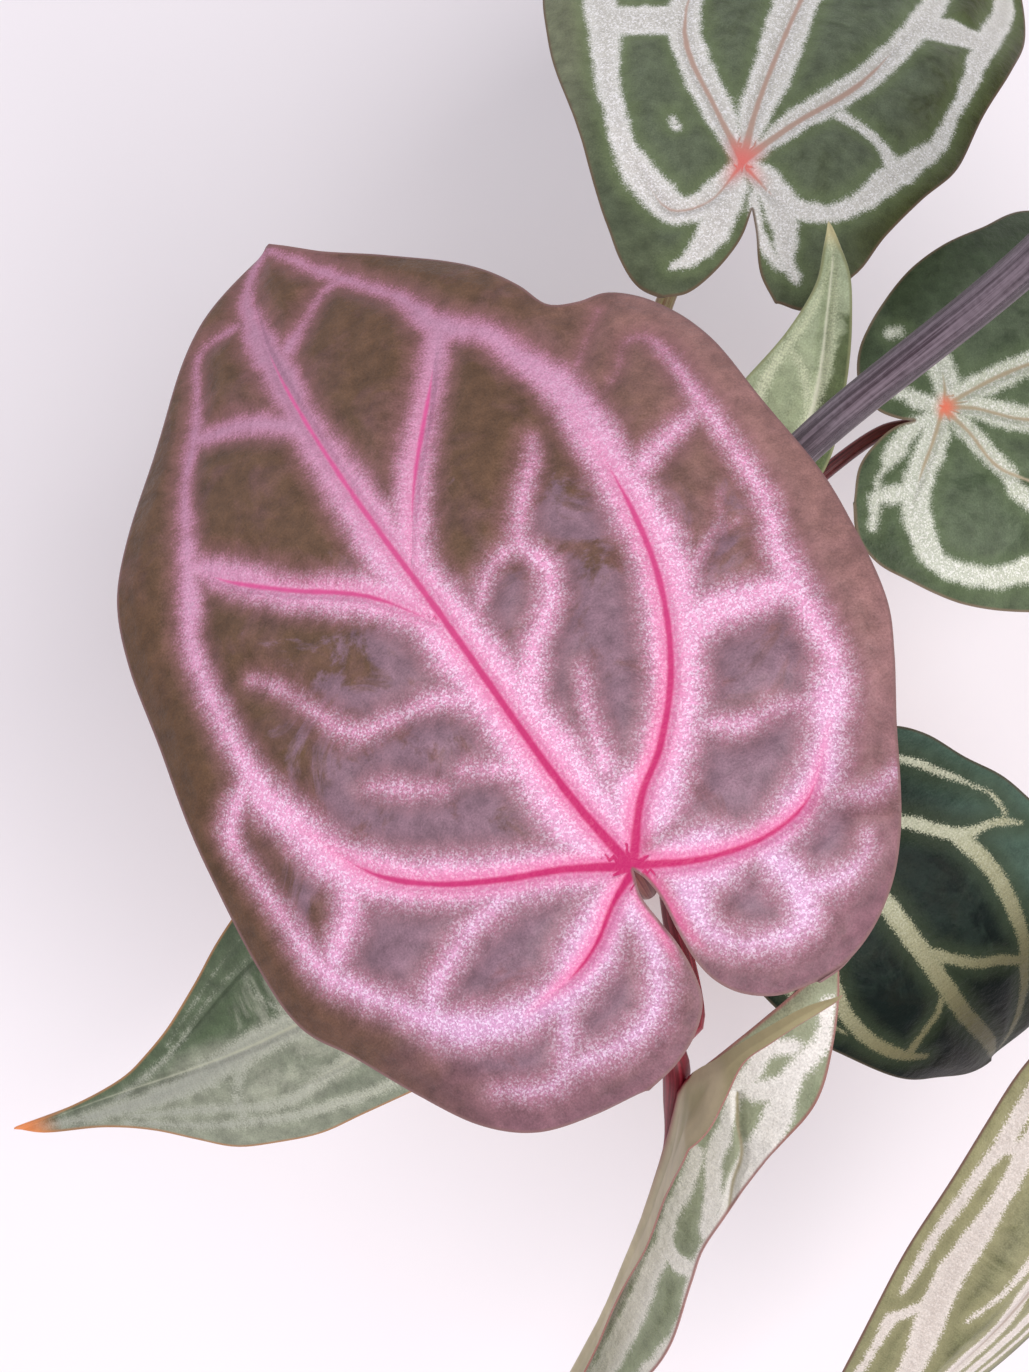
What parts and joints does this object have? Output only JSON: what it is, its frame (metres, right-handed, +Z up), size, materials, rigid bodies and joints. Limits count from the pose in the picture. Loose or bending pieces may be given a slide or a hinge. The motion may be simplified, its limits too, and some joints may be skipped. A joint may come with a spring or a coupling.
{
  "type": "potted anthurium hybrid",
  "caption": "Potted aroid with heart-shaped, pink and silver veined velvety leaves on long petioles, in a plain clay pot filled with chunky mix.",
  "frame": {"origin": "middle of the pot's base, on the surface it stands on", "axes": "+Z up along the pot's axis; +Y towards the back, where the rear leaf points"},
  "size_m": [0.3617, 0.4791, 0.4245],
  "materials": {
    "terracotta": "matt fired clay",
    "potting_mix": "rough bark",
    "stem": "dull",
    "leaf_bronze": "velvety",
    "leaf_green": "velvety",
    "leaf_dark": "velvety",
    "petiole_red": "satin",
    "petiole_green": "satin",
    "petiole_grey": "satin"
  },
  "bodies": {
    "root": {"pot": "terracotta", "potting_mix": "potting_mix", "stem": "stem", "petiole_bronze": "petiole_red", "blade_bronze": "leaf_bronze", "petiole_rear": "petiole_green", "blade_rear": "leaf_green", "petiole_right": "petiole_red", "blade_right": "leaf_green", "petiole_rear_small": "petiole_green", "blade_rear_small": "leaf_green", "petiole_left": "petiole_green", "blade_left": "leaf_green", "petiole_dark": "petiole_green", "blade_dark": "leaf_dark", "petiole_folded": "petiole_red", "blade_folded": "leaf_green", "petiole_corner": "petiole_green", "blade_corner": "leaf_green", "petiole_far_right": "petiole_grey", "blade_far_right": "leaf_green"}
  },
  "joints": []
}
